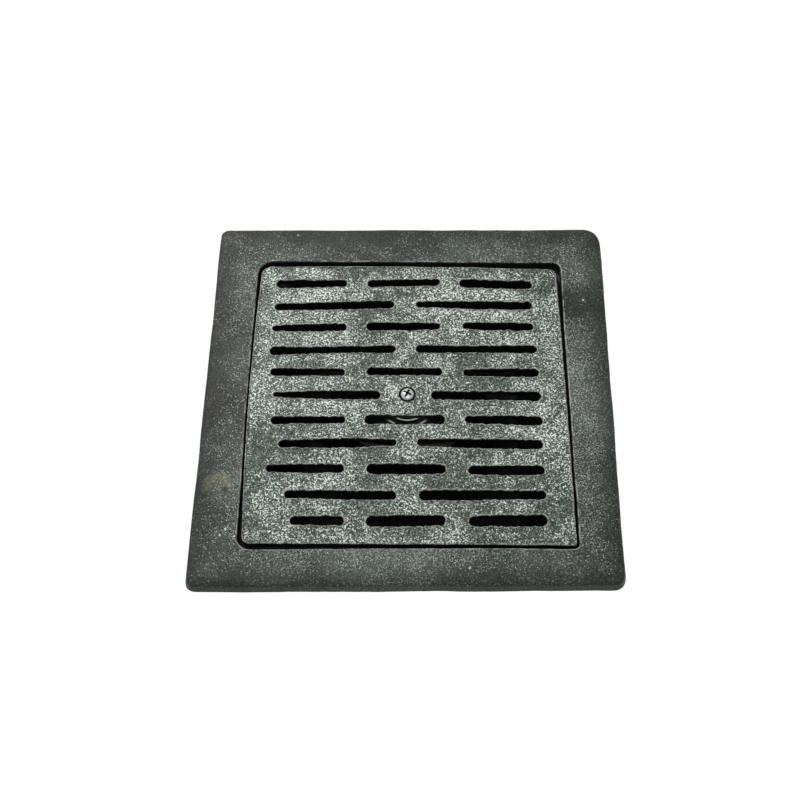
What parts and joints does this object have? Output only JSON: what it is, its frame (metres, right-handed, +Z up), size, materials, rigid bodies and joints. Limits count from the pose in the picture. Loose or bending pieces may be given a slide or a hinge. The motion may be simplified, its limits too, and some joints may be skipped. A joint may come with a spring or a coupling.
{
  "type": "floor drain with slotted grate",
  "caption": "Square cast iron floor drain: flanged frame with tapered pot and outlet spigot, loose slotted grate carrying a bell trap on a centre screw.",
  "frame": {"origin": "middle of the outlet spigot's lower end, on the drain's vertical axis", "axes": "+Z up through the grate, -Y towards the edge nearest the viewer, +X to the right"},
  "size_m": [0.3, 0.3, 0.1178],
  "materials": {
    "frame_iron": "black painted casting, satin with fine sparkling grain",
    "grate_iron": "grey green worn casting with pale grain",
    "bell_iron": "glossy black coated casting",
    "zinc_steel": "bright zinc plated steel"
  },
  "bodies": {
    "root": {"frame": "frame_iron", "grate": "grate_iron", "bell": "bell_iron", "centre_screw": "zinc_steel", "washer": "zinc_steel", "hex_nut": "zinc_steel"}
  },
  "joints": []
}
